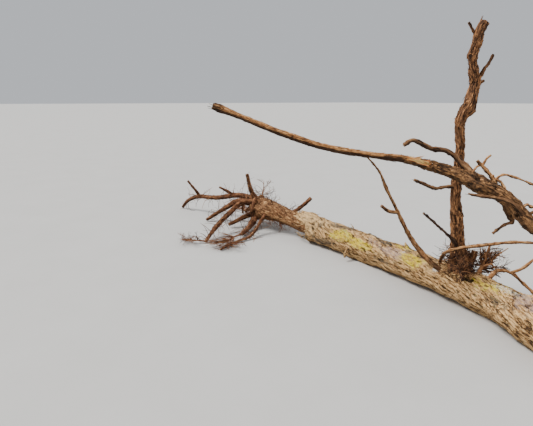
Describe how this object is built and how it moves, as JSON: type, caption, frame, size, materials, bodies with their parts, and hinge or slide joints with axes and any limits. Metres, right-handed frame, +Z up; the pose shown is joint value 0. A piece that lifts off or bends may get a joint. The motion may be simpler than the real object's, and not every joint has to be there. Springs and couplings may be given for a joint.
{
  "type": "uprooted grapevine",
  "caption": "Bare-rooted grapevine lying on its side: root crown and roots at one end, lichened trunk, knobby head, an upright arm and a long torn arm, no leaves.",
  "frame": {"origin": "middle of the footprint of the lying vine, on the ground", "axes": "+X along the trunk from the root crown to the head, +Y across it away from the long arm's tip, +Z up"},
  "size_m": [1.4804, 0.5907, 0.6097],
  "materials": {
    "trunk_bark": "rough, fibrous tan-grey bark with pale green lichen",
    "rootstock_bark": "rough, fibrous red-brown bark",
    "arm_bark": "rough, dark brown fissured bark, with torn pale wood at one place",
    "shoot_bark": "smoother orange-brown young bark",
    "root_bark": "dark red-brown, earth-stained root bark",
    "fine_roots": "fine, dry, wiry rootlets and twigs"
  },
  "bodies": {
    "root": {"rootstock": "rootstock_bark", "trunk": "trunk_bark", "upright_arm": "arm_bark", "long_arm_foot": "arm_bark", "long_arm_middle": "arm_bark", "long_arm_outer": "arm_bark", "side_shoot_wavy": "shoot_bark", "side_shoot_upper": "shoot_bark", "side_shoot_under": "shoot_bark", "side_shoot_right": "shoot_bark", "side_shoot_curly": "shoot_bark", "stub_under": "shoot_bark", "side_shoot_left": "shoot_bark", "shoot_dark": "shoot_bark", "shoot_tall": "shoot_bark", "shoot_orange": "shoot_bark", "shoot_low": "shoot_bark", "stub_behind": "shoot_bark", "root_up": "root_bark", "root_face": "root_bark", "root_left": "root_bark", "root_front": "root_bark", "root_long": "root_bark", "root_down": "root_bark", "root_short": "root_bark", "root_thin": "root_bark", "root_back": "root_bark", "root_back_low": "root_bark", "root_tail": "root_bark", "fine_roots_front": "fine_roots", "fine_roots_left": "fine_roots", "fine_roots_under": "fine_roots", "fine_roots_top": "fine_roots", "fine_roots_back": "fine_roots", "fine_roots_tail": "fine_roots", "fork_twigs_right": "fine_roots", "fork_twigs_front": "fine_roots"}
  },
  "joints": []
}
